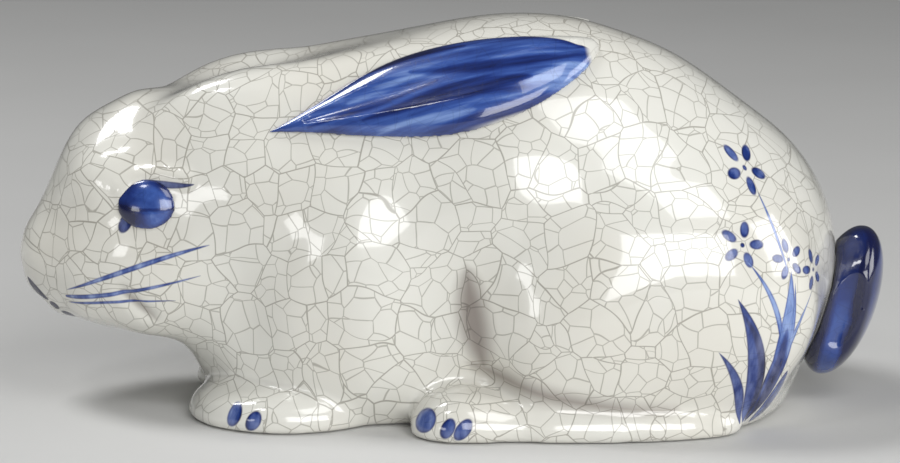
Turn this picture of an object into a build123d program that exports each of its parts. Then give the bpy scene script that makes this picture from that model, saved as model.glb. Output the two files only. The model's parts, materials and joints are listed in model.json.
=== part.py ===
from build123d import *
import math
import os

import numpy as np

# Driving dimensions, in millimetres and degrees.
# The rabbit crouches on Z = 0 with its nose towards -X, so its left side is towards -Y.

# Clay masses of the body: centre (X, Y, Z) and full size (length, width, height).
# A centre with a Y value stands for a pair, one on each side.
BACK_CENTRE = (21, 0, 59)
BACK_SIZE = (122, 80, 97)
RUMP_CENTRE = (62, 0, 41)
RUMP_SIZE = (89, 86, 91)
CROUP_CENTRE = (44, 0, 61)
CROUP_SIZE = (80, 66, 74)
SEAT_CENTRE = (69, 0, 10)
SEAT_SIZE = (52, 74, 40)
WITHERS_CENTRE = (-22, 0, 56)
WITHERS_SIZE = (94, 70, 81)
SHOULDER_CENTRE = (-24, 22, 34)
SHOULDER_SIZE = (60, 36, 74)
BELLY_CENTRE = (5, 0, 12)
BELLY_SIZE = (140, 64, 48)
CHEST_CENTRE = (-44, 0, 21)
CHEST_SIZE = (58, 58, 54)
HAUNCH_CENTRE = (53, 28, 34)
HAUNCH_SIZE = (90, 40, 78)
KNEE_CENTRE = (36, 32, 24)
KNEE_SIZE = (54, 32, 54)

# Clay masses of the head and of the ridges that the ears lie on.
NECK_CENTRE = (-52, 0, 60)
NECK_SIZE = (70, 60, 63)
SKULL_CENTRE = (-80, 0, 60)
SKULL_SIZE = (58, 44, 55)
CHEEK_CENTRE = (-72, 14, 42)
CHEEK_SIZE = (66, 28, 42)
JAW_CENTRE = (-90, 0, 39)
JAW_SIZE = (50, 42, 34)
MUZZLE_CENTRE = (-103, 0, 41)
MUZZLE_SIZE = (33, 23, 31)
NOSE_CENTRE = (-98.5, 0, 54)
NOSE_SIZE = (26, 24, 41)
FACE_SLOPE = -21
BROW_CENTRE = (-94, 12, 65)
BROW_SIZE = (20, 18, 20)
EAR_ROOT_CENTRE = (-58, 14, 81)
EAR_ROOT_SIZE = (46, 15, 28)
EAR_ROOT_PITCH = 12
EAR_RIDGE_CENTRE = (-14, 9, 91)
EAR_RIDGE_SIZE = (94, 19, 23)
EAR_RIDGE_PITCH = 9
EAR_RIDGE_YAW = -4

# How softly the masses run into each other, and how thick the cast wall is.
BODY_BLEND = 3.0
HOLLOW_BLEND = 4.0
FOOT_BLEND = 2.0
WALL = 5.0

# Ears: leaves laid along the sides of the back, dished inside a raised rim.
EAR_LENGTH = 94.0
EAR_WIDTH = 27.5
EAR_THICKNESS = 11.0
EAR_RIM = 2.0
EAR_DISH_DEPTH = 1.5
EAR_CENTRE_X = -6.0
EAR_CENTRE_Z = 91.5
EAR_PITCH = 14.0
EAR_SKEW = 1.35
EAR_BLUNTNESS = 0.4
EAR_ROUNDNESS = 0.6
EAR_FRONT_SHARE = 0.02
EAR_REAR_SHARE = 0.985
EAR_DISH_FRONT_SHARE = 0.12
EAR_DISH_REAR_SHARE = 0.94

# Eyes: almond beads set on the sides of the skull.
EYE_LENGTH = 16.5
EYE_HEIGHT = 14.0
EYE_BULGE = 2.6
EYE_CENTRE_X = -82.5
EYE_CENTRE_Z = 60.5

# Feet: they stand out from under the body and rest on the ground.
FOREPAW_LENGTH = 56.0
FOREPAW_WIDTH = 48.0
FOREPAW_HEIGHT = 13.0
FOREPAW_REACH = 0.0
FOREPAW_OVERHANG = 1.0
HIND_FOOT_LENGTH = 90.0
HIND_FOOT_WIDTH = 24.0
HIND_FOOT_HEIGHT = 12.0
HIND_FOOT_REACH = 20.0
HIND_FOOT_OVERHANG = 1.0
TOE_LENGTH = 27.0
TOE_WIDTH = 23.0
TOE_HEIGHT = 13.0
SOLE_ROUNDING = 2.0

# Tail: an upright scut luted to the rump and hollowed on both flanks.
TAIL_THICKNESS = 19.0
TAIL_WIDTH = 30.0
TAIL_HEIGHT = 44.0
TAIL_LEAN = 18.0
TAIL_CENTRE_Z = 28.0
TAIL_STAND_OFF = 4.0
TAIL_DISH_DEPTH = 3.0
TAIL_RIM = 4.0

# Base: a slab that closes the hollow, with a vent for the firing.
BASE_THICKNESS = 5.0
BASE_RECESS = 1.5
VENT_DIAMETER = 11.0
VENT_X = 10.0

# How each form is sliced: the lean of the slices, their number, the points round each one,
# the flat left at each tip, and the share of a step that keeps the seam off the middle plane.
BODY_SLICE_LEAN = 14.0
BODY_SLICES = 28
BODY_POINTS = 36
SMALL_SLICES = 12
SMALL_POINTS = 16
EAR_SLICES = 13
FOOT_SLICE_LEAN = 0.0
TAIL_SLICE_LEAN = 90.0
TIP_FLAT = 0.05
SEAM_TURN = 0.5

# How finely a surface is searched for: steps in each search, rounds of it and the room round it.
TIP_STEPS = 13
TIP_ROUNDS = 12
RING_STEPS = 61
RING_ROUNDS = 5
RING_ROOM = 1.1
RAY_STEPS = 400
RAY_ROOM = 1.5
LINE_STEPS = 4000
SMALL_STEP = 0.01
ALMOST_NONE = 1e-9


def turning(angle, first, second):
    """A turn by an angle from one axis towards another."""
    turn = np.eye(3)
    turn[first, first] = math.cos(angle)
    turn[second, second] = math.cos(angle)
    turn[second, first] = math.sin(angle)
    turn[first, second] = -math.sin(angle)
    return turn


class Mass:
    """One rounded lump of clay, or a mirrored pair of them."""

    def __init__(self, centre, size, pitch=0.0, yaw=0.0, roll=0.0):
        self.centre = np.array(centre, float)
        self.half = np.array(size, float) / 2
        self.turn = np.array((pitch, yaw, roll))

    def thinner(self, wall):
        """The same lump with a wall taken off all round."""
        return Mass(self.centre, 2 * (self.half - wall), *self.turn)

    def mirrored(self):
        return Mass(self.centre * (1, -1, 1), 2 * self.half, *(self.turn * (1, -1, -1)))

    def axes(self):
        """Columns are the lump's own length, width and height directions."""
        pitch, yaw, roll = np.radians(self.turn)
        return turning(yaw, 0, 1) @ turning(pitch, 0, 2) @ turning(roll, 1, 2)

    def distance(self, points):
        """About how far points lie outside the lump, negative inside."""
        local = (points - self.centre) @ self.axes()
        near = np.sqrt(((local / self.half) ** 2).sum(-1)) + ALMOST_NONE
        slope = np.sqrt(((local / self.half**2) ** 2).sum(-1)) + ALMOST_NONE
        return near * (near - 1) / slope


def paired(masses):
    """Adds the mirror image of each mass that stands off the middle."""
    return [one for mass in masses for one in ([mass, mass.mirrored()] if mass.centre[1] else [mass])]


class Clay:
    """Several masses pressed together, with the joins smoothed over."""

    def __init__(self, masses, blend):
        self.masses = masses
        self.blend = blend

    def distance(self, points):
        each = np.stack([mass.distance(points) for mass in self.masses])
        nearest = each.min(0)
        return nearest - self.blend * np.log(np.exp((nearest - each) / self.blend).sum(0))

    def reach(self):
        """Lowest and highest corners of a box that holds the clay."""
        spans = [np.sqrt(((mass.axes() * mass.half) ** 2).sum(1)) for mass in self.masses]
        swell = self.blend * math.log(len(self.masses))
        low = np.min([mass.centre - span for mass, span in zip(self.masses, spans)], axis=0)
        high = np.max([mass.centre + span for mass, span in zip(self.masses, spans)], axis=0)
        return low - swell, high + swell

    def solid(self, lean, slices, points):
        """A closed solid through leaning slices of the clay, with a tip at each end."""
        along = np.array((-math.cos(math.radians(lean)), 0, math.sin(math.radians(lean))))
        rise = np.array((math.sin(math.radians(lean)), 0, math.cos(math.radians(lean))))
        side = np.array((0.0, 1.0, 0.0))
        start = self.tip(-along) @ along + TIP_FLAT
        end = self.tip(along) @ along - TIP_FLAT
        rings = []
        for count in range(slices):
            share = (1 - math.cos(math.pi * count / (slices - 1))) / 2
            rings.append(self.ring(along * (start + share * (end - start)), rise, side, points))
        return Solid.make_loft(rings)

    def tip(self, direction):
        """The point of the surface that lies furthest along a direction."""
        low, high = self.reach()
        spread = (high - low) / 2
        best = (high + low) / 2
        for _ in range(TIP_ROUNDS):
            steps = [one * np.linspace(-1, 1, TIP_STEPS) for one in spread]
            grid = best + np.stack(np.meshgrid(*steps, indexing="ij"), -1).reshape(-1, 3)
            inside = grid[self.distance(grid) <= 0]
            best = inside[np.argmax(inside @ direction)]
            spread = spread / 2
        return best

    def ring(self, foot, rise, side, points):
        """A closed curve round the slice through a point."""
        low, high = self.reach()
        size = np.linalg.norm(high - low)
        middle = (low + high) / 2
        start = foot + rise * (middle @ rise) + side * (middle @ side)
        span = size / 2
        for _ in range(RING_ROUNDS):
            steps = np.linspace(-span, span, RING_STEPS)
            across, up = np.meshgrid(steps, steps)
            grid = start + across[..., None] * side + up[..., None] * rise
            depth = self.distance(grid)
            held = grid[depth <= max(0, depth.min())]
            start = (held.min(0) + held.max(0)) / 2
            span = np.abs(held - start).max() * RING_ROOM + 4 * span / RING_STEPS
        turns = 2 * math.pi * (np.arange(points) + SEAM_TURN) / points
        rays = np.outer(np.sin(turns), side) - np.outer(np.cos(turns), rise)
        reach = np.linspace(0, span * RAY_ROOM, RAY_STEPS)
        depth = self.distance(start + reach[:, None, None] * rays)
        edge = len(reach) - 1 - np.argmax(depth[::-1] <= 0, axis=0)
        pick = np.arange(points)
        inner, outer = depth[edge, pick], depth[edge + 1, pick]
        radius = reach[edge] + (reach[1] - reach[0]) * inner / (inner - outer)
        return Wire([Edge.make_spline([Vector(*p) for p in start + radius[:, None] * rays], periodic=True)])


body_masses = paired([
    Mass(BACK_CENTRE, BACK_SIZE),
    Mass(RUMP_CENTRE, RUMP_SIZE),
    Mass(CROUP_CENTRE, CROUP_SIZE),
    Mass(SEAT_CENTRE, SEAT_SIZE),
    Mass(WITHERS_CENTRE, WITHERS_SIZE),
    Mass(SHOULDER_CENTRE, SHOULDER_SIZE),
    Mass(BELLY_CENTRE, BELLY_SIZE),
    Mass(CHEST_CENTRE, CHEST_SIZE),
    Mass(HAUNCH_CENTRE, HAUNCH_SIZE),
    Mass(KNEE_CENTRE, KNEE_SIZE),
    Mass(NECK_CENTRE, NECK_SIZE),
    Mass(SKULL_CENTRE, SKULL_SIZE),
    Mass(CHEEK_CENTRE, CHEEK_SIZE),
])
trim_masses = paired([
    Mass(JAW_CENTRE, JAW_SIZE),
    Mass(MUZZLE_CENTRE, MUZZLE_SIZE, FACE_SLOPE),
    Mass(NOSE_CENTRE, NOSE_SIZE, FACE_SLOPE),
    Mass(BROW_CENTRE, BROW_SIZE),
    Mass(EAR_ROOT_CENTRE, EAR_ROOT_SIZE, EAR_ROOT_PITCH),
    Mass(EAR_RIDGE_CENTRE, EAR_RIDGE_SIZE, EAR_RIDGE_PITCH, EAR_RIDGE_YAW),
])
outer_clay = Clay(body_masses + trim_masses, BODY_BLEND)
hollow_clay = Clay([mass.thinner(WALL) for mass in body_masses], HOLLOW_BLEND)
outer = outer_clay.solid(BODY_SLICE_LEAN, BODY_SLICES, BODY_POINTS)
hollow = hollow_clay.solid(BODY_SLICE_LEAN, BODY_SLICES, BODY_POINTS)
reach_low, reach_high = outer_clay.reach()
room = 2 * float(np.abs([reach_low, reach_high]).max())
above_ground = Box(room, room, room, align=(Align.CENTER, Align.CENTER, Align.MIN))
right_half = Box(room, room, room, align=(Align.CENTER, Align.MIN, Align.CENTER))


def largest(shape):
    """The main solid that is left after a cut."""
    return max(shape.solids(), key=lambda solid: solid.volume)


def surface(point, direction):
    """Where a line from inside the clay leaves it."""
    steps = np.linspace(0, room / 2, LINE_STEPS)
    depth = outer_clay.distance(np.array(point, float) + steps[:, None] * np.array(direction, float))
    edge = int(np.nonzero(depth <= 0)[0].max())
    travel = steps[edge] + steps[1] * depth[edge] / (depth[edge] - depth[edge + 1])
    return np.array(point, float) + travel * np.array(direction, float)


def outward(point):
    """The direction square to the surface of the clay."""
    steps = SMALL_STEP * np.eye(3)
    slope = outer_clay.distance(point + steps) - outer_clay.distance(point - steps)
    return slope / np.linalg.norm(slope)


def right_flank(x, z):
    """The point of the right flank at a place along and above the ground."""
    return surface((x, 0, z), (0, 1, 0))


def make_body():
    """The hollow cast body with its head, haunches and open foot ring."""
    return largest((outer & above_ground) - hollow)


def make_base():
    """The slab that closes the hollow, let in a little above the ground."""
    slab = Box(room, room, BASE_THICKNESS, align=(Align.CENTER, Align.CENTER, Align.MIN))
    slab = slab.moved(Location((0, 0, BASE_RECESS)))
    vent = Cylinder(VENT_DIAMETER / 2, 4 * BASE_THICKNESS + 4 * BASE_RECESS)
    return largest((hollow & slab) - vent.moved(Location((VENT_X, 0, 0))))


def make_forepaw():
    """The right forepaw, which stands out from the chest and shoulder."""
    front = CHEST_CENTRE[0] - CHEST_SIZE[0] / 2 - FOREPAW_REACH
    edge = SHOULDER_CENTRE[1] + SHOULDER_SIZE[1] / 2 + FOREPAW_OVERHANG
    centre = (front + FOREPAW_LENGTH / 2, edge - FOREPAW_WIDTH / 2, SOLE_ROUNDING)
    paw = Mass(centre, (FOREPAW_LENGTH, FOREPAW_WIDTH, 2 * (FOREPAW_HEIGHT - SOLE_ROUNDING)))
    solid = Clay([paw], FOOT_BLEND).solid(FOOT_SLICE_LEAN, SMALL_SLICES, SMALL_POINTS)
    return solid & above_ground & right_half


def make_hind_foot():
    """The right hind foot: a long sole with a rounder toe end."""
    front = KNEE_CENTRE[0] - KNEE_SIZE[0] / 2 - HIND_FOOT_REACH
    edge = HAUNCH_CENTRE[1] + HAUNCH_SIZE[1] / 2 + HIND_FOOT_OVERHANG
    sole_centre = (front + HIND_FOOT_LENGTH / 2, edge - HIND_FOOT_WIDTH / 2, SOLE_ROUNDING)
    toe_centre = (front + TOE_LENGTH / 2, edge - TOE_WIDTH / 2, SOLE_ROUNDING)
    sole = Mass(sole_centre, (HIND_FOOT_LENGTH, HIND_FOOT_WIDTH, 2 * (HIND_FOOT_HEIGHT - SOLE_ROUNDING)))
    toe = Mass(toe_centre, (TOE_LENGTH, TOE_WIDTH, 2 * (TOE_HEIGHT - SOLE_ROUNDING)))
    solid = Clay([sole, toe], FOOT_BLEND).solid(FOOT_SLICE_LEAN, SMALL_SLICES, SMALL_POINTS)
    return solid & above_ground


def make_eye():
    """The right eye, a flat bead turned to follow the side of the skull."""
    centre = right_flank(EYE_CENTRE_X, EYE_CENTRE_Z)
    normal = outward(centre)
    yaw = math.degrees(math.atan2(-normal[0], normal[1]))
    roll = math.degrees(math.asin(normal[2]))
    bead = Mass(centre, (EYE_LENGTH, 2 * EYE_BULGE, EYE_HEIGHT), 0, yaw, roll)
    return Clay([bead], FOOT_BLEND).solid(FOOT_SLICE_LEAN, SMALL_SLICES, SMALL_POINTS)


def ear_point(share):
    """A place along the middle of the right ear, from its tip to its rear end."""
    along = (share - 0.5) * EAR_LENGTH
    pitch = math.radians(EAR_PITCH)
    return right_flank(EAR_CENTRE_X + along * math.cos(pitch), EAR_CENTRE_Z + along * math.sin(pitch))


def ear_leaf(first, last, trim, raised):
    """A leaf between two shares of the ear: its edges lie on the clay, its middle may be raised."""
    rings = []
    for share in np.linspace(first, last, EAR_SLICES):
        middle = ear_point(share)
        normal = outward(middle)
        ahead = ear_point(share + SMALL_STEP) - ear_point(share - SMALL_STEP)
        spread = math.sin(math.pi * share**EAR_SKEW) ** (1 - EAR_BLUNTNESS * share)
        half_width = EAR_WIDTH / 2 * spread - trim
        half_thick = EAR_THICKNESS / 2 * spread**EAR_ROUNDNESS
        across = np.cross(normal, ahead)
        across = across / np.linalg.norm(across)
        gap_up = outer_clay.distance(middle + half_width * across)
        gap_down = outer_clay.distance(middle - half_width * across)
        centre = middle + (raised * half_thick - (gap_up + gap_down) / 2) * normal
        across = across - (gap_up - gap_down) / (2 * half_width) * normal
        plane = Plane(Vector(*centre), x_dir=Vector(*across), z_dir=Vector(*ahead))
        rings.append(plane * Ellipse(half_width, half_thick).wire())
    return Solid.make_loft(rings)


def make_ear():
    """The right ear, a leaf with its inside scooped out to a rim."""
    leaf = ear_leaf(EAR_FRONT_SHARE, EAR_REAR_SHARE, 0, 0)
    raised = 2 * (1 - EAR_DISH_DEPTH / EAR_THICKNESS)
    dish = ear_leaf(EAR_DISH_FRONT_SHARE, EAR_DISH_REAR_SHARE, EAR_RIM, raised)
    return leaf - dish


def tail_clay():
    """The tail's scut and the scoop of its right flank."""
    root = surface((RUMP_CENTRE[0], 0, TAIL_CENTRE_Z), (1, 0, 0))
    centre = root + (TAIL_STAND_OFF, 0, 0)
    scut = Mass(centre, (TAIL_THICKNESS, TAIL_WIDTH, TAIL_HEIGHT), -TAIL_LEAN)
    scoop_size = (TAIL_THICKNESS - 2 * TAIL_RIM, 2 * TAIL_DISH_DEPTH, TAIL_HEIGHT - 2 * TAIL_RIM)
    scoop = Mass(centre + (0, TAIL_WIDTH / 2, 0), scoop_size, -TAIL_LEAN)
    return Clay([scut], FOOT_BLEND), Clay([scoop], FOOT_BLEND)


def make_tail():
    """The tail, seated on the rump and dished on each flank."""
    scut, scoop = (clay.solid(TAIL_SLICE_LEAN, SMALL_SLICES, SMALL_POINTS) for clay in tail_clay())
    return scut - scoop - scoop.mirror(Plane.XZ)


# The pieces that are luted to the casting are cut where they meet it, each side by itself.
pieces = {"body_casting": make_body(), "base_slab": make_base(), "tail": largest(make_tail() - outer)}
pairs = {"ear": make_ear(), "eye": make_eye(), "forepaw": make_forepaw(), "hind_foot": make_hind_foot()}
for name, form in pairs.items():
    pieces["right_" + name] = largest(form - outer)
    pieces["left_" + name] = largest(form.mirror(Plane.XZ) - outer)

# The origin is on the ground, halfway between the nose and the end of the tail.
nose_x = outer_clay.tip(np.array((-1, 0, 0)))[0]
tail_x = tail_clay()[0].tip(np.array((1, 0, 0)))[0]
to_origin = Location((-(nose_x + tail_x) / 2, 0, 0))
os.makedirs("parts", exist_ok=True)
for name, piece in pieces.items():
    export_step(piece.moved(to_origin), os.path.join("parts", name + ".step"))
print("nose to tail", tail_x - nose_x)
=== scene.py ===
# %% [markdown]
# # A crouching rabbit in crackled white glaze and cobalt
# The figurine is cast hollow in clay, its ears, eyes, feet and tail are luted on with slip, and everything
# is painted with cobalt and dipped in one clear glaze. The glaze fills every join, so the finished rabbit
# has soft creases and no sharp seam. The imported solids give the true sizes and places. This script softens
# copies of them as the glaze does, and then spends most of its lines on the crackle and the brushwork.

# %% Load the frame
import json
import math

import bpy
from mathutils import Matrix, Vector, geometry

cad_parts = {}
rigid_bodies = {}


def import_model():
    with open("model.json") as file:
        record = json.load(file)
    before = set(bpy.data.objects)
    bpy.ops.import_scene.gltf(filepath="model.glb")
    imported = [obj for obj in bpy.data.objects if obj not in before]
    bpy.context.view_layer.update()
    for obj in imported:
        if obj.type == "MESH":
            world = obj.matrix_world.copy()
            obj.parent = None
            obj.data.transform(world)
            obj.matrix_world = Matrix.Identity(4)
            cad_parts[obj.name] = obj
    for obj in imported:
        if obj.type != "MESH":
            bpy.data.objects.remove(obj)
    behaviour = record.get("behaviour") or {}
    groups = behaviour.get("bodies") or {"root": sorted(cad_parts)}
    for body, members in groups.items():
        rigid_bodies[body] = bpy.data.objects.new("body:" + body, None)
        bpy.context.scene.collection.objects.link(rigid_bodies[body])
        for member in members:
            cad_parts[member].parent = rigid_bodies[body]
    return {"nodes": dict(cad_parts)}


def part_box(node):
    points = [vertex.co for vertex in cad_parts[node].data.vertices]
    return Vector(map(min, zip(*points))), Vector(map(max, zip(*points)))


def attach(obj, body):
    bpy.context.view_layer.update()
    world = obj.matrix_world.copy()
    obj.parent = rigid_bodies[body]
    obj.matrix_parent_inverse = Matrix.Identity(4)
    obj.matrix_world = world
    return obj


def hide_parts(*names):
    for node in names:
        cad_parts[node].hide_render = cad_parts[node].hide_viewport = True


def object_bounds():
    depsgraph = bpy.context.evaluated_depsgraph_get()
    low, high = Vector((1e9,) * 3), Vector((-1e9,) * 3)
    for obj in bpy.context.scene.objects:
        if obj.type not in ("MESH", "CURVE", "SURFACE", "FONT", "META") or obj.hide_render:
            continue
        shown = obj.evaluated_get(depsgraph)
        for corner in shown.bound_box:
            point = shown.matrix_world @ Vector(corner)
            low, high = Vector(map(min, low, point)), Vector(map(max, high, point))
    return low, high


MM = 0.001
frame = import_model()
cad_low, cad_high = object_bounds()
scene = bpy.context.scene
scene.view_settings.view_transform = "Standard"

# The painted lines are placed for a nose at this x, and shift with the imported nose.
NOSE_X_MM = -120.4
SHIFT_MM = cad_low.x / MM - NOSE_X_MM
print("solids", len(frame["nodes"]), "box in mm", [round(s / MM, 1) for s in cad_high - cad_low])


# %% [markdown]
# ## Working on copies
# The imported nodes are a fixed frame: they are never moved or edited. Each visible piece therefore starts as
# a copy of a node with a mesh of its own. The imported triangles are loose, so the first thing that happens
# to a copy is a merge by distance, as with the M menu in edit mode.

# %% Helpers for copies
MERGE_MM = 0.005


def only(piece):
    """Selects one object and nothing else."""
    bpy.ops.object.select_all(action="DESELECT")
    piece.select_set(True)
    bpy.context.view_layer.objects.active = piece


def pick(piece, action):
    """Opens a piece in edit mode with all or none of its points selected."""
    only(piece)
    bpy.ops.object.mode_set(mode="EDIT")
    bpy.ops.mesh.select_all(action=action)


def copy_of(node, name):
    """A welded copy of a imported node, with no material."""
    piece = frame["nodes"][node].copy()
    piece.data = piece.data.copy()
    piece.name = name
    for key in list(piece.keys()):
        del piece[key]
    piece.parent = None
    scene.collection.objects.link(piece)
    piece.data.materials.clear()
    pick(piece, "SELECT")
    bpy.ops.mesh.remove_doubles(threshold=MERGE_MM * MM)
    bpy.ops.object.mode_set(mode="OBJECT")
    return piece


def joined(pieces, name):
    """Several objects made one, under a new name."""
    bpy.ops.object.select_all(action="DESELECT")
    for piece in pieces:
        piece.select_set(True)
    bpy.context.view_layer.objects.active = pieces[0]
    bpy.ops.object.join()
    pieces[0].name = name
    return pieces[0]


def apply(piece, kind, **settings):
    """Adds a modifier, sets it and applies it."""
    only(piece)
    modifier = piece.modifiers.new(kind.title(), kind)
    for key, value in settings.items():
        setattr(modifier, key, value)
    bpy.ops.object.modifier_apply(modifier=modifier.name)


def smoothed(piece, rounds):
    """Evens a skin out. The more rounds, the more a crease is filled."""
    apply(piece, "SMOOTH", factor=0.5, iterations=rounds)


def softened(piece, voxel_mm, rounds):
    """The piece as one even skin, with its creases filled as by a coat of glaze."""
    apply(piece, "REMESH", mode="VOXEL", voxel_size=voxel_mm * MM)
    smoothed(piece, rounds)
    bpy.ops.object.shade_smooth()
    return piece


# %% [markdown]
# ## The glazed body
# On the real rabbit the feet are luted to the casting and the glaze bridges the joints. A boolean union
# would keep a hard line there. A voxel remesh of the joined copies makes one even skin instead, and a few
# rounds of smoothing then round the valley at the haunch and the seams over the feet in the way a melted
# glaze does. The hollow is first sealed from below with a widened copy of the base slab, so that the inside
# becomes an island of its own that can be thrown away.

# %% Body and feet as one skin
FEET = ["left_forepaw", "right_forepaw", "left_hind_foot", "right_hind_foot"]
SKIN_VOXEL_MM = 1.1
SKIN_ROUNDS = 26
SEAL_GROWTH = 1.06
SEAL_LIFT_MM = 1.5
PLUG_RADIUS_MM = 15.0


def sealing_slab():
    """A lid inside the hollow, wider than the slab and with its vent plugged."""
    lid = copy_of("base_slab", "lid")
    low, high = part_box("base_slab")
    middle = (low + high) / 2
    pick(lid, "SELECT")
    bpy.ops.transform.resize(value=(SEAL_GROWTH, SEAL_GROWTH, 1), center_override=middle)
    bpy.ops.transform.translate(value=(0, 0, SEAL_LIFT_MM * MM))
    bpy.ops.object.mode_set(mode="OBJECT")
    bpy.ops.object.select_all(action="DESELECT")
    bpy.ops.mesh.primitive_cylinder_add(radius=PLUG_RADIUS_MM * MM, depth=high.z - low.z,
                                        location=(middle.x, 0, middle.z + SEAL_LIFT_MM * MM))
    plug = bpy.context.active_object
    bpy.ops.object.transform_apply(location=True, rotation=True, scale=True)
    return joined([lid, plug], "lid")


def keep_outside(piece):
    """Deletes what isn't connected to the foremost point of the skin."""
    nose = min(piece.data.vertices, key=lambda vertex: vertex.co.x).index
    pick(piece, "DESELECT")
    bpy.ops.object.mode_set(mode="OBJECT")
    piece.data.vertices[nose].select = True
    bpy.ops.object.mode_set(mode="EDIT")
    bpy.ops.mesh.select_linked()
    bpy.ops.mesh.select_all(action="INVERT")
    bpy.ops.mesh.delete(type="VERT")
    bpy.ops.object.mode_set(mode="OBJECT")


parts = [copy_of("body_casting", "skin")] + [copy_of(foot, foot + "_copy") for foot in FEET]
skin = joined(parts + [sealing_slab()], "glazed_skin")
apply(skin, "REMESH", mode="VOXEL", voxel_size=SKIN_VOXEL_MM * MM)
keep_outside(skin)
smoothed(skin, SKIN_ROUNDS)
bpy.ops.object.shade_smooth()
print("skin faces", len(skin.data.polygons), "x", round(min(v.co.x for v in skin.data.vertices) / MM, 1))


# %% [markdown]
# ## Lids and mouth
# A modeller's tool has pressed a mouth line under each cheek and raised a fold over each eye. In edit mode
# the points next to a line are picked and pushed along their normals, and proportional editing carries
# their neighbours along, as the soft clay does.

# %% Press lines into the skin
MIDDLE_BAND_MM = 8.0


def pushed(piece, points, near_mm, depth_mm, reach_mm):
    """Pushes the skin along its normals beside a line that is drawn on both flanks."""
    pick(piece, "DESELECT")
    bpy.ops.object.mode_set(mode="OBJECT")
    line = [Vector((x + SHIFT_MM, z)) * MM for x, z in points]
    picked = 0
    for vertex in piece.data.vertices:
        if abs(vertex.co.y) < MIDDLE_BAND_MM * MM:
            continue
        place = Vector((vertex.co.x, vertex.co.z))
        for first, second in zip(line, line[1:]):
            nearest, share = geometry.intersect_point_line(place, first, second)
            if 0 <= share <= 1 and (place - nearest).length < near_mm * MM:
                vertex.select = True
                picked += 1
                break
    bpy.ops.object.mode_set(mode="EDIT")
    bpy.ops.transform.shrink_fatten(value=depth_mm * MM, use_proportional_edit=True,
                                    proportional_edit_falloff="SMOOTH", proportional_size=reach_mm * MM,
                                    use_proportional_connected=True)
    bpy.ops.object.mode_set(mode="OBJECT")
    print("pushed", picked, "points")


MOUTH_LINE = [(-90.0, 37.0), (-86.5, 33.0), (-81.0, 28.6)]
UPPER_LID = [(-90.0, 63.5), (-87.0, 67.2), (-82.0, 69.2), (-76.0, 68.6), (-71.0, 67.6)]
pushed(skin, MOUTH_LINE, near_mm=0.5, depth_mm=-1.3, reach_mm=3.2)
pushed(skin, UPPER_LID, near_mm=0.6, depth_mm=1.0, reach_mm=3.4)
smoothed(skin, 2)

# %% [markdown]
# ## Feet apart from the body
# Each foot is still a piece of its own, so the skin is now divided again at the joints. A cutter is the
# packed foot, grown by a little more than the smoothing has moved the surface. What lies inside it is the
# foot and the rest is the body. The normals are carried over from the whole skin, because cut edges would
# otherwise catch the light as a seam that the glaze doesn't show.

# %% Divide the skin
CUTTER_VOXEL_MM = 1.2
CUTTER_ROUNDS = 4
FOOT_GROWTH_MM = 1.6
WELD_MM = 0.12


def grown(node):
    """A cutter round one foot."""
    piece = softened(copy_of(node, node + "_cutter"), CUTTER_VOXEL_MM, CUTTER_ROUNDS)
    apply(piece, "DISPLACE", strength=FOOT_GROWTH_MM * MM, mid_level=0.0)
    return piece


def carved(piece, cutter, operation):
    """Cuts a piece by a cutter, welds the slivers along the cut and turns every face into triangles."""
    apply(piece, "BOOLEAN", operation=operation, solver="MANIFOLD", object=cutter)
    pick(piece, "SELECT")
    bpy.ops.mesh.remove_doubles(threshold=WELD_MM * MM)
    for _ in range(2):
        bpy.ops.mesh.dissolve_degenerate(threshold=WELD_MM * MM / 2)
        bpy.ops.mesh.quads_convert_to_tris(quad_method="BEAUTY", ngon_method="BEAUTY")
    bpy.ops.object.mode_set(mode="OBJECT")
    keep_outside(piece)


def with_skin_normals(piece):
    """Gives a cut piece the normals of the whole skin."""
    apply(piece, "DATA_TRANSFER", object=skin, use_loop_data=True, data_types_loops={"CUSTOM_NORMAL"},
          loop_mapping="POLYINTERP_NEAREST")


def skin_copy(name):
    """Another object with the whole skin."""
    piece = skin.copy()
    piece.data = skin.data.copy()
    piece.name = name
    scene.collection.objects.link(piece)
    return piece


glazed_body = skin_copy("glazed_body")
feet = []
for foot in FEET:
    cutter = grown(foot)
    piece = skin_copy("glazed_" + foot)
    carved(piece, cutter, "INTERSECT")
    with_skin_normals(piece)
    feet.append(piece)
    carved(glazed_body, cutter, "DIFFERENCE")
    bpy.data.objects.remove(cutter)
with_skin_normals(glazed_body)
bpy.data.objects.remove(skin)
print("faces", {piece.name: len(piece.data.polygons) for piece in [glazed_body] + feet})

# %% [markdown]
# ## Ears, eyes and tail
# These stay pieces of their own, because they are painted all over and their edges show. Each one is its
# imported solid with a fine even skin, smoothed just enough to melt the steps of the remesh, so that the rim
# of the ear leaf stays crisp. A groove is then pressed into both flanks of the tail.

# %% Applied pieces
SIDES = ("left", "right")
SCUT_GROOVE = [(110.2, 45.0), (109.0, 38.0), (107.4, 29.0), (105.2, 19.0)]

ears = [softened(copy_of(side + "_ear", side + "_ear_leaf"), voxel_mm=0.5, rounds=6) for side in SIDES]
eyes = [softened(copy_of(side + "_eye", side + "_eye_bead"), voxel_mm=0.35, rounds=14) for side in SIDES]
tail = softened(copy_of("tail", "scut"), voxel_mm=0.6, rounds=8)
pushed(tail, SCUT_GROOVE, near_mm=0.8, depth_mm=-1.4, reach_mm=5.5)
smoothed(tail, 10)
print("faces", {piece.name: len(piece.data.polygons) for piece in ears + eyes + [tail]})


# %% [markdown]
# ## Shader arithmetic
# The brushwork is drawn with numbers: how far a point lies along a stroke, how far off its middle, how wide
# the brush is pressed there. Written as nodes by hand that would be hundreds of boxes, so a small class
# wraps a socket and lets Python's own operators add the Math nodes.

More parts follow.
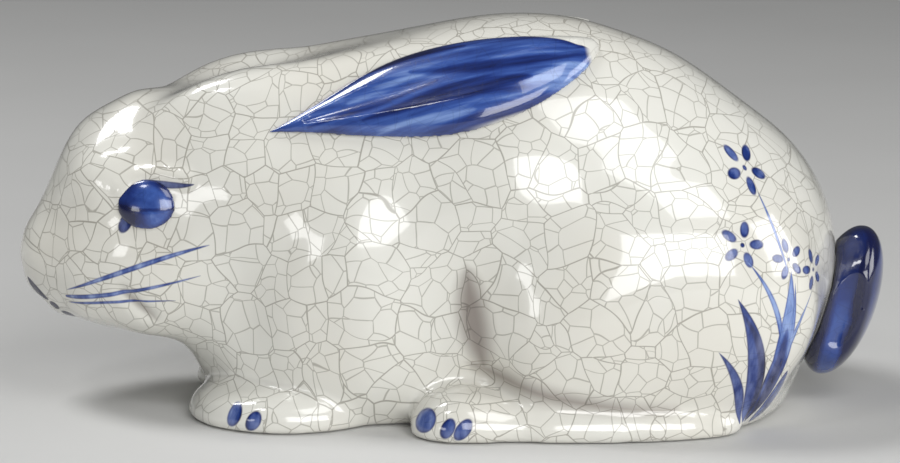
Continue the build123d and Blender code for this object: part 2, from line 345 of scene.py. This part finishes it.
# %% A number that varies over a surface
class Value:
    """One socket of a node tree; arithmetic on it adds nodes."""

    def __init__(self, finish, socket):
        self.finish = finish
        self.socket = socket

    def __add__(self, other):
        return self.finish.math("ADD", self, other)

    def __radd__(self, other):
        return self.finish.math("ADD", other, self)

    def __sub__(self, other):
        return self.finish.math("SUBTRACT", self, other)

    def __rsub__(self, other):
        return self.finish.math("SUBTRACT", other, self)

    def __mul__(self, other):
        return self.finish.math("MULTIPLY", self, other)

    def __rmul__(self, other):
        return self.finish.math("MULTIPLY", other, self)

    def __truediv__(self, other):
        return self.finish.math("DIVIDE", self, other)

    def __rtruediv__(self, other):
        return self.finish.math("DIVIDE", other, self)

    def __pow__(self, other):
        return self.finish.math("POWER", self, other)

    def __abs__(self):
        return self.finish.math("ABSOLUTE", self)

    def do(self, operation, *others):
        """Any other operation of the Math node."""
        return self.finish.math(operation, self, *others)

    def step(self, low, high):
        """Runs smoothly from 0 at low to 1 at high."""
        settings = {"interpolation_type": "SMOOTHSTEP"}
        return self.finish.node("ShaderNodeMapRange", settings,
                                {"Value": self, "From Min": low, "From Max": high})["Result"]


class Finish:
    """A material and the nodes that make it."""

    def __init__(self, name):
        self.material = bpy.data.materials.new(name)
        self.material.use_nodes = True
        self.tree = self.material.node_tree
        self.tree.nodes.clear()
        self.place = self.node("ShaderNodeTexCoord", {}, {})["Object"]
        split = self.node("ShaderNodeSeparateXYZ", {}, {0: self.place})
        self.x = split["X"] * (1 / MM) - SHIFT_MM
        self.y = abs(split["Y"] * (1 / MM))
        self.z = split["Z"] * (1 / MM)

    def node(self, kind, settings, inputs):
        """Adds a node, sets it, then fills or links its sockets. Gives its outputs by name."""
        made = self.tree.nodes.new(kind)
        for key, value in settings.items():
            if key == "stops":
                ramp = made.color_ramp
                while len(ramp.elements) < len(value):
                    ramp.elements.new(1.0)
                for element, (position, colour) in zip(ramp.elements, value):
                    element.position = position
                    element.color = colour
            else:
                setattr(made, key, value)
        sockets = [socket for socket in made.inputs if socket.enabled]
        for key, value in inputs.items():
            socket = sockets[key] if isinstance(key, int) else next(s for s in sockets if s.name == key)
            if isinstance(value, Value):
                self.tree.links.new(value.socket, socket)
            else:
                socket.default_value = value
        return {socket.name: Value(self, socket) for socket in made.outputs if socket.enabled}

    def math(self, operation, *values):
        """Math on values and numbers."""
        return self.node("ShaderNodeMath", {"operation": operation}, dict(enumerate(values)))["Value"]

    def vector(self, operation, *values):
        """Vector Math. Gives its one result, a vector or a number."""
        made = self.node("ShaderNodeVectorMath", {"operation": operation}, dict(enumerate(values)))
        return next(iter(made.values()))

    def mix(self, share, first, second, blend="MIX"):
        """Two colours mixed by a share."""
        settings = {"data_type": "RGBA", "blend_type": blend}
        return self.node("ShaderNodeMix", settings, {"Factor": share, "A": first, "B": second})["Result"]

    def noise(self, scale, detail=2.0, where=None):
        """Soft random values round one half. Scale is in waves per millimetre."""
        inputs = {"Vector": where or self.place, "Scale": scale / MM, "Detail": detail}
        return self.node("ShaderNodeTexNoise", {"normalize": True}, inputs)["Fac"]

    def shade(self, **sockets):
        """The glazed shader, with constants set on its own sockets."""
        names = {key.replace("_", " ").title(): value for key, value in sockets.items()}
        shader = self.node("ShaderNodeBsdfPrincipled", {}, names)["BSDF"]
        self.node("ShaderNodeOutputMaterial", {}, {"Surface": shader})


# %% [markdown]
# ## The crackle
# A crackled glaze is under tension. It tears in long curved lines first, and the panes between them then
# tear again, so that a younger crack always ends on an older one. Two sets of Voronoi cells give that: wide
# ones for the old cracks, and small ones that are shifted from pane to pane, so that their lines break off
# at the old ones. A cell wall that meets the surface at a slant would draw a wide line. The distance to the
# wall is therefore divided by the sine of the angle between the wall and the surface.

# %% Distance to the nearest crack
OLD_PANE_MM = 12.0
YOUNG_PANE_MM = 6.0
PANE_RANDOMNESS = 0.78
LEAST_SLANT = 0.06
DRIFT_WAVES_PER_M = 45.0
DRIFT_MM = 10.0
CRACK_MM = 0.15
YOUNG_INK = 0.85
PAINTED_CRACK = 0.25


def crack_distance(finish, where, cell_mm):
    """Millimetres from a point of the surface to the wall of its cell, and the cell's colour."""
    scaled = {"Vector": where, "Scale": 1 / (cell_mm * MM), "Randomness": PANE_RANDOMNESS}
    own = finish.node("ShaderNodeTexVoronoi", {"feature": "F1"}, scaled)
    next_one = finish.node("ShaderNodeTexVoronoi", {"feature": "F2"}, scaled)
    across = finish.vector("SUBTRACT", next_one["Position"], own["Position"])
    length = finish.vector("LENGTH", across)
    wall = next_one["Distance"] ** 2 - own["Distance"] ** 2
    depth = wall * cell_mm**2 / (length / MM * 2)
    normal = finish.node("ShaderNodeNewGeometry", {}, {})["Normal"]
    facing = finish.vector("DOT_PRODUCT", finish.vector("NORMALIZE", across), normal)
    slant = (1 - facing * facing).do("MAXIMUM", LEAST_SLANT).do("SQRT")
    return depth / slant, own["Color"]


def crackle(finish):
    """Ink of the crack lines, from 0 on a pane to 1 in a crack."""
    waves = {"Vector": finish.place, "Scale": DRIFT_WAVES_PER_M, "Detail": 1.0}
    drift = finish.node("ShaderNodeTexNoise", {}, waves)["Color"]
    drift = finish.vector("SUBTRACT", drift, (0.5, 0.5, 0.5))
    drift = finish.vector("MULTIPLY", drift, [DRIFT_MM * MM] * 3)
    where = finish.vector("ADD", finish.place, drift)
    old, pane = crack_distance(finish, where, OLD_PANE_MM)
    shifted = finish.vector("ADD", where, pane)
    young, _ = crack_distance(finish, shifted, YOUNG_PANE_MM)
    uneven = finish.noise(0.12) * 0.5 + 0.75
    old_line = 1 - (old / uneven).step(CRACK_MM * 0.5, CRACK_MM * 1.5)
    young_line = 1 - (young / uneven).step(CRACK_MM * 0.4, CRACK_MM * 1.4)
    return old_line.do("MAXIMUM", young_line * YOUNG_INK)


# %% [markdown]
# ## Brush strokes
# Cobalt is brushed on before the glazing. A loaded brush makes a dab that is dark where the paint pools and
# pale where it runs dry. A stroke is described by its two ends, its bow and its greatest width. Its ink is
# the room that is left between the point and the edge of the stroke. The rabbit is painted alike on both
# sides, so everything is drawn in the distance from the middle plane.

# %% Strokes and flowers
FULLNESS = 0.6
PETALS = 5
PETAL_MIDDLE = 0.66
PETAL_HALF_LENGTH = 0.34
PETAL_HALF_WIDTH = 0.205
FLOWER_DOT = 0.10


def stroke(u, v, start, end, width, bow, belly=0.5):
    """Room inside a stroke that is pointed at its ends and widest where the brush is pressed."""
    run = math.hypot(end[0] - start[0], end[1] - start[1])
    cos, sin = (end[0] - start[0]) / run, (end[1] - start[1]) / run
    share = ((u - start[0]) * cos + (v - start[1]) * sin) / run
    held = share.do("MAXIMUM", 0.0).do("MINIMUM", 1.0)
    lean = math.log(0.5) / math.log(belly)
    swell = ((held ** lean) * math.pi).do("SINE")
    off = abs((v - start[1]) * cos - (u - start[0]) * sin - held * (1 - held) * (4 * bow))
    return swell.do("MAXIMUM", 0.0) ** FULLNESS * (width / 2) - off - abs(share - held) * run


def dab(u, v, centre, length, width, turn):
    """Room inside one round touch of the brush."""
    cos, sin = math.cos(math.radians(turn)), math.sin(math.radians(turn))
    ahead = ((u - centre[0]) * cos + (v - centre[1]) * sin) / (length / 2)
    aside = ((v - centre[1]) * cos - (u - centre[0]) * sin) / (width / 2)
    return (1 - (ahead * ahead + aside * aside).do("SQRT")) * (width / 2)


def flower(u, v, centre, reach, turn):
    """Room inside the dabs of one flower and the dot in its middle."""
    du, dv = u - centre[0], v - centre[1]
    angle = dv.do("ARCTAN2", du) * (PETALS / (2 * math.pi)) + turn
    folded = (angle.do("FRACT") - 0.5) * (2 * math.pi / PETALS)
    radius = (du * du + dv * dv).do("SQRT")
    ahead = radius * folded.do("COSINE") - reach * PETAL_MIDDLE
    aside = radius * folded.do("SINE")
    long, wide = reach * PETAL_HALF_LENGTH, reach * PETAL_HALF_WIDTH
    petal = (1 - ((ahead * ahead) / long**2 + (aside * aside) / wide**2).do("SQRT")) * wide
    return petal.do("MAXIMUM", reach * FLOWER_DOT - radius)


def most(rooms):
    """The widest of several rooms, which is the room in all of them together."""
    total = rooms[0]
    for room in rooms[1:]:
        total = total.do("MAXIMUM", room)
    return total


def ink(room, soft=0.2):
    """How much of the ground the paint covers."""
    return room.step(-soft, soft)


def pool(room, depth):
    """Paint that ran to the edge of a stroke before it dried."""
    return 1 - room.step(0.1, depth)


# %% [markdown]
# ## Cobalt under glaze
# Thin cobalt fires to a clear mid blue and thick cobalt to navy. One ramp turns the load of the brush into
# colour, and every painted place uses it. The streaks come from noise that is drawn out along the stroke.

# %% Colours
WHITE_GLAZE = (0.76, 0.755, 0.70, 1)
WARM_GLAZE = (0.70, 0.66, 0.57, 1)
CRACK_TINT = (0.33, 0.315, 0.28, 1)
# A brown that is painted shade in the creases at the haunch and the feet and in the mouth line.
PAINTED_CREASE_SHADE = (0.25, 0.215, 0.19, 1)
CRACK_SHARE = 0.74
RIPPLE_MM = 0.6
GLAZE_ROUGHNESS = 0.16
COAT_ROUGHNESS = 0.035
COBALT = [
    (0.0, (0.20, 0.31, 0.62, 1)),
    (0.3, (0.042, 0.098, 0.36, 1)),
    (0.6, (0.012, 0.034, 0.19, 1)),
    (1.0, (0.003, 0.006, 0.050, 1)),
]


def cobalt(finish, load):
    """The colour of cobalt for a load of paint."""
    return finish.node("ShaderNodeValToRGB", {"stops": COBALT}, {"Fac": load})["Color"]


def glazed(finish, colour, crack, coat=1.0):
    """The clear glaze over a colour, which its crackle darkens."""
    base = finish.mix(crack * CRACK_SHARE, colour, CRACK_TINT, "MULTIPLY")
    ripple = finish.noise(0.035, 1.0) * 0.9 - crack * 0.05
    bumps = {"Strength": 0.35, "Distance": RIPPLE_MM * MM, "Height": ripple}
    normal = finish.node("ShaderNodeBump", {}, bumps)["Normal"]
    rough = finish.noise(0.3) * 0.06 + GLAZE_ROUGHNESS + crack * 0.15
    finish.shade(base_color=base, roughness=rough, normal=normal, coat_weight=coat,
                 coat_roughness=COAT_ROUGHNESS)


# %% [markdown]
# ## The painted body
# Whiskers, lash, muzzle, toes and the flower spray on the haunch are all strokes in one finish, which the
# body and the feet share. The head and the feet are drawn as seen from the side. The spray lies where the
# haunch turns to the rear, so it is drawn on a plane that is turned with it.

# %% Body finish
SPRAY_TURN = math.radians(30)

body = Finish("glazed_clay")
x, y, z = body.x, body.y, body.z
around = x * math.cos(SPRAY_TURN) - y * math.sin(SPRAY_TURN)

whiskers = most([
    stroke(x, z, (-105.4, 35.4), (-65.5, 50.4), 1.5, 0.9, 0.5),
    stroke(x, z, (-106.0, 33.2), (-68.0, 41.8), 1.4, -0.6, 0.2),
    stroke(x, z, (-105.2, 31.4), (-75.0, 34.5), 0.9, 0.6, 0.35),
])
lids = most([
    stroke(x, z, (-84.0, 67.0), (-69.5, 66.6), 2.0, -0.7, 0.45),
    dab(x, z, (-88.4, 55.6), 6.0, 3.4, 62),
])
toes = most([
    dab(x, z, (-58.9, 4.8), 6.8, 3.5, 66),
    dab(x, z, (-53.7, 3.7), 6.0, 3.8, 58),
    dab(x, z, (-7.1, 5.6), 7.2, 4.6, 55),
    dab(x, z, (-1.2, 4.4), 6.0, 3.6, 62),
    dab(x, z, (2.9, 4.2), 6.8, 3.9, 52),
])
muzzle = most([
    stroke(x, z, (-117.6, 36.0), (-111.6, 30.2), 2.2, -0.5),
    dab(x, z, (-110.0, 28.6), 3.4, 2.0, 135),
    dab(x, z, (-106.2, 26.2), 4.2, 1.9, 165),
])
flowers = most([
    flower(around, z, (53.6, 71.7), 6.4, -0.17),
    flower(around, z, (45.5, 53.6), 6.2, 0.53),
    flower(around, z, (59.1, 48.5), 5.5, 0.15),
    flower(around, z, (69.2, 44.0), 5.5, 0.15),
])
stems = most([
    stroke(around, z, (54.5, 66.0), (58.5, 45.0), 0.9, -0.3),
    stroke(around, z, (46.5, 49.0), (57.0, 22.0), 1.6, 2.2, 0.6),
    stroke(around, z, (59.5, 45.5), (55.0, 12.0), 4.6, 0.5, 0.6),
    stroke(around, z, (60.6, 42.0), (58.4, 16.0), 1.6, 0.3, 0.6),
    stroke(around, z, (68.2, 39.5), (57.0, 16.0), 1.5, -1.8, 0.7),
])
blades = most([
    stroke(around, z, (43.0, 39.5), (49.5, 3.0), 5.4, 3.2, 0.6),
    stroke(around, z, (38.5, 25.0), (48.0, 3.0), 2.8, 2.0, 0.6),
    stroke(around, z, (57.5, 26.0), (50.5, 3.0), 5.2, 1.2, 0.4),
    stroke(around, z, (61.0, 17.0), (53.0, 2.0), 4.2, 1.2, 0.5),
])
print("strokes drawn, nodes", len(body.tree.nodes))

# %% The load of the brush
BODY_LOAD = 0.40
POOL_LOAD = 0.26
STREAK_LOAD = 1.2
LASH_LOAD = 0.18
WHISKER_THINNING = 0.20
STEM_THINNING = 0.38
BLADE_FOOT_LOAD = 0.12
SHADED_LOAD = 0.34

streaks = body.vector("MULTIPLY", body.place, (1.0, 1.0, 0.3))
brush = body.noise(0.30, 3.0, streaks) - 0.5
drawn = most([toes, flowers, stems, blades, lids, whiskers])
pale = ink(whiskers) * WHISKER_THINNING + ink(stems) * z.step(14, 34) * STEM_THINNING
shaded = most([
    stroke(around, z, (44.5, 35.0), (50.2, 3.0), 2.6, 4.2, 0.55),
    stroke(around, z, (58.0, 30.0), (52.0, 3.0), 3.0, 1.0, 0.5),
])
low_blades = ink(blades) * (1 - z.step(8, 32)) * BLADE_FOOT_LOAD
low_blades = low_blades + ink(shaded, 0.5) * ink(drawn) * SHADED_LOAD
load = BODY_LOAD - pale + low_blades + pool(drawn, 0.7) * POOL_LOAD + brush * STREAK_LOAD
load = load + ink(muzzle) + ink(lids) * LASH_LOAD
cover = ink(drawn).do("MAXIMUM", ink(muzzle)) * (brush * 0.5 + 0.95)

# %% The clay under the glaze, and painted shade in the creases
# Painted shade: a brown tint darkens the valley between shoulder and haunch and the crease over each hind
# foot, on both flanks.
crease = most([
    stroke(x, z, (4.0, 46.0), (9.0, 17.0), 8.0, -0.8),
    stroke(x, z, (5.0, 19.0), (60.0, 8.5), 4.0, -2.2, 0.3),
])
# Painted shade: the same brown darkens the pressed mouth line under each cheek.
mouth = stroke(x, z, (-90.0, 37.0), (-80.5, 28.4), 2.2, 0.4)
clay = body.mix(body.noise(0.02, 2.0).step(0.35, 0.75) * 0.4, WHITE_GLAZE, WARM_GLAZE)
clay = body.mix(crease.step(-3.0, 3.4) * y.step(16, 24) * 0.95, clay, PAINTED_CREASE_SHADE)
clay = body.mix(mouth.step(-1.0, 1.2) * y.step(7, 10) * 0.6, clay, PAINTED_CREASE_SHADE)
ground = body.mix(cover.do("MINIMUM", 1.0), clay, cobalt(body, load))
glazed(body, ground, crackle(body) * (1 - ink(drawn) * 0.7), coat=1 - ink(muzzle))
print("body finish nodes", len(body.tree.nodes))

# %% [markdown]
# ## The ear leaves
# The inside of each ear is one long leaf filled with cobalt, brushed from the tip to the rear. Its edges
# and a few long strokes are loaded twice, a few others are thin, and the rim at the rear stays white. A
# point is placed by its share of the leaf's length and by its share of the half width there, with the same
# swelling outline as the solid.

# %% Ear finish
EAR_CENTRE_MM = (-6.0, 25.4, 91.5)
EAR_UP = (-0.18, -0.63, 0.757)
EAR_LENGTH_MM = 94.0
EAR_HALF_WIDTH_MM = 13.5
EAR_TIP_MM = 0.4
EAR_SWELL = 1.35
EAR_TAPER = 0.4
EAR_PITCH = math.radians(14)

leaf = Finish("cobalt_leaf")
du, dv = leaf.x - EAR_CENTRE_MM[0], leaf.z - EAR_CENTRE_MM[2]
share = (du * math.cos(EAR_PITCH) + dv * math.sin(EAR_PITCH)) / EAR_LENGTH_MM + 0.5
held = share.do("MAXIMUM", 0.01).do("MINIMUM", 0.99)
spread = ((held ** EAR_SWELL) * math.pi).do("SINE") ** (1 - held * EAR_TAPER)
rise = dv * EAR_UP[2] + du * EAR_UP[0] + (leaf.y - EAR_CENTRE_MM[1]) * EAR_UP[1]
aside = rise / (spread * EAR_HALF_WIDTH_MM + EAR_TIP_MM)
along = (share - 0.5) * EAR_LENGTH_MM
drawn_out = {"X": share * 2.0, "Y": rise * 0.22, "Z": 0.0}
streak_place = leaf.node("ShaderNodeCombineXYZ", {}, drawn_out)["Vector"]
fibres = {"Vector": streak_place, "Scale": 2.6, "Detail": 4.0}
streak = leaf.node("ShaderNodeTexNoise", {}, fibres)["Fac"] - 0.5
dark = most([
    stroke(along, rise, (-19.0, -4.6), (28.0, -3.8), 5.4, 0.8, 0.62),
    stroke(along, rise, (-4.0, 5.8), (45.0, 2.4), 2.8, -2.0, 0.5),
    stroke(along, rise, (-34.0, -2.4), (3.0, 1.6), 1.0, -0.8),
    stroke(along, rise, (-20.0, 9.5), (12.0, 10.5), 2.4, 1.0),
])
light = most([
    stroke(along, rise, (-26.0, -8.4), (11.0, -9.6), 4.4, -0.8),
    stroke(along, rise, (25.0, -5.2), (44.0, -1.0), 5.4, -0.8),
    stroke(along, rise, (-22.0, 1.0), (6.0, 5.0), 2.0, 0.6),
])
edge = abs(aside).step(0.70, 0.97)
load = 0.36 + streak * 1.1 + ink(dark, 0.9) * 0.42 - ink(light, 1.2) * 0.26 + edge * 0.38
rear_rim = abs(aside).step(0.93, 1.0) * share.step(0.55, 0.72)
rim = most([rear_rim, share.step(0.955, 0.975)])
leaf_ground = leaf.mix(rim, cobalt(leaf, load), WHITE_GLAZE)
glazed(leaf, leaf_ground, crackle(leaf) * PAINTED_CRACK)
print("ear finish nodes", len(leaf.tree.nodes))

# %% [markdown]
# ## Eyes and tail
# Both are plain cobalt, brushed unevenly. The eye is darkest towards the nose and in a bar across its
# middle. The tail is navy, and thinner low in the hollow of its flank and along its rear edge.

# %% Eye and tail finishes
EYE_CENTRE_MM = (-82.5, 60.5)
EYE_HALF_MM = (8.2, 6.8)
SCUT_MIDDLE_MM = (108.2, 32.0)
SCUT_LEAN = 0.20

bead = Finish("cobalt_bead")
du = (bead.x - EYE_CENTRE_MM[0]) / EYE_HALF_MM[0]
dv = (bead.z - EYE_CENTRE_MM[1]) / EYE_HALF_MM[1]
ring = (du * du + dv * dv).do("SQRT")
smear = bead.noise(0.22, 3.0) - 0.5
lid = (dv - du * 0.25 + 0.05).step(0.25, 0.8)
corner = 1 - ((du + 0.55) ** 2 + (dv + 0.5) ** 2).do("SQRT").step(0.2, 0.75)
bar = 1 - abs(dv + 0.12 - du * 0.04).step(0.02, 0.10)
front = 1 - du.step(-0.9, -0.1)
shadow = lid * 0.12 + corner * 0.5 + front * 0.5 + bar * 0.3
load = 0.34 + shadow + ring.step(0.66, 0.95) * du.step(-0.4, 0.5) * 0.5 + smear * 0.9
glazed(bead, cobalt(bead, load), crackle(bead) * PAINTED_CRACK)

scut = Finish("cobalt_scut")
smear = scut.noise(0.10, 3.0) - 0.5
across = scut.x - SCUT_MIDDLE_MM[0] - (scut.z - SCUT_MIDDLE_MM[1]) * SCUT_LEAN + smear * 4
hollow = 1 - abs(across).step(1.5, 4.0)
edge = across.step(6.5, 8.5)
load = 1.06 + smear * 0.6 - hollow * (1 - scut.z.step(20, 48)) * 0.50 - hollow * 0.12 - edge * 0.40
glazed(scut, cobalt(scut, load), crackle(scut) * PAINTED_CRACK)
print("bead and scut nodes", len(bead.tree.nodes), len(scut.tree.nodes))

# %% [markdown]
# ## The bare base
# The slab under the rabbit is wiped free of glaze so that it doesn't stick in the kiln. It shows the fired
# clay: buff, matt and a little sandy.

# %% Base finish
BUFF_CLAY = (0.56, 0.47, 0.36, 1)
PALE_CLAY = (0.66, 0.58, 0.47, 1)
SAND_BROWN = (0.30, 0.22, 0.15, 1)

bare = Finish("bare_clay")
grain = bare.noise(0.9, 4.0)
stain = bare.noise(0.05, 3.0)
buff = bare.mix(stain, BUFF_CLAY, PALE_CLAY)
buff = bare.mix(grain.step(0.60, 0.72) * 0.5, buff, SAND_BROWN)
bumps = {"Strength": 0.5, "Distance": 0.2 * MM, "Height": grain}
normal = bare.node("ShaderNodeBump", {}, bumps)["Normal"]
bare.shade(base_color=buff, roughness=grain * 0.2 + 0.7, normal=normal)

# %% Finishes on their pieces
finishes = [([glazed_body] + feet, body), ([tail], scut), (ears, leaf), (eyes, bead)]
for pieces, finish in finishes:
    for piece in pieces:
        piece.data.materials.clear()
        piece.data.materials.append(finish.material)
slab = frame["nodes"]["base_slab"]
slab.data.materials.clear()
slab.data.materials.append(bare.material)

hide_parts("body_casting")
for foot, piece in zip(FEET, feet):
    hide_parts(foot)
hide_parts("tail")
for side, ear, eye in zip(SIDES, ears, eyes):
    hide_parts(side + "_ear")
    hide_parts(side + "_eye")
for piece in [glazed_body, tail] + feet + ears + eyes:
    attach(piece, "root")

# %% [markdown]
# ## Floor, light and camera
# The floor is one wide sheet of pale paper. A soft light hangs over the rabbit and shades it from above.
# The other panels stand where the glaze mirrors them: a window to the right behind the camera for the
# haunch, a low one to its left for the cheek, and a small one high up on the left for the brow. One at
# each end lights the top of the head and the rump.

# %% Floor
FLOOR_M = 3.0
PAPER_GREY = (0.60, 0.60, 0.59, 1)
PAPER_PALE = (0.64, 0.64, 0.63, 1)

bpy.ops.object.select_all(action="DESELECT")
bpy.ops.mesh.primitive_plane_add(size=FLOOR_M, location=(0, 0, 0))
floor = bpy.context.active_object
floor.name = "floor"
paper = Finish("pale_paper")
mottle = paper.noise(0.01, 2.0)
paper_colour = paper.mix(mottle, PAPER_GREY, PAPER_PALE)
paper.shade(base_color=paper_colour, roughness=mottle * 0.1 + 0.75)
floor.data.materials.append(paper.material)


# %% Lights
LIT_POINT = Vector((0, 0, 0.05))
WORLD_GREY = (0.80, 0.81, 0.82, 1)
WORLD_STRENGTH = 0.10


def panel(name, direction, distance, width, height, watts):
    """A soft panel that faces the rabbit from a direction."""
    light = bpy.data.lights.new(name, "AREA")
    light.shape = "RECTANGLE"
    light.size = width
    light.size_y = height
    light.energy = watts
    lamp = bpy.data.objects.new(name, light)
    way = Vector(direction).normalized()
    lamp.location = LIT_POINT + way * distance
    lamp.rotation_euler = way.to_track_quat("Z", "Y").to_euler()
    scene.collection.objects.link(lamp)


panel("window", (0.28, -0.93, 0.25), 1.25, 0.90, 0.50, 7.0)
panel("cheek_panel", (-0.60, -0.79, 0.08), 1.2, 0.22, 0.16, 0.5)
panel("top_panel", (0.35, -0.58, 0.73), 1.0, 0.50, 0.45, 2.4)
panel("left_panel", (-0.50, 0.15, 0.85), 1.0, 0.30, 0.30, 5.0)
panel("brow_panel", (-0.42, -0.45, 0.79), 1.0, 0.14, 0.14, 0.7)
panel("right_panel", (0.93, -0.25, 0.28), 1.0, 0.55, 0.50, 3.6)
world = bpy.data.worlds.new("studio")
scene.world = world
world.use_nodes = True
backdrop = world.node_tree.nodes["Background"].inputs
backdrop["Color"].default_value = WORLD_GREY
backdrop["Strength"].default_value = WORLD_STRENGTH

# %% Camera
ELEVATION = math.radians(13)
DISTANCE_M = 1.0
AIM_MM = (-0.6, 47.5)

target = Vector(((SHIFT_MM + AIM_MM[0]) * MM, 0, AIM_MM[1] * MM))
back = Vector((0, -math.cos(ELEVATION), math.sin(ELEVATION)))
lens = bpy.data.cameras.new("camera")
lens.sensor_width = 36.0
lens.lens = 144.0
camera = bpy.data.objects.new("camera", lens)
camera.location = target + back * DISTANCE_M
camera.rotation_euler = back.to_track_quat("Z", "Y").to_euler()
scene.collection.objects.link(camera)
scene.camera = camera
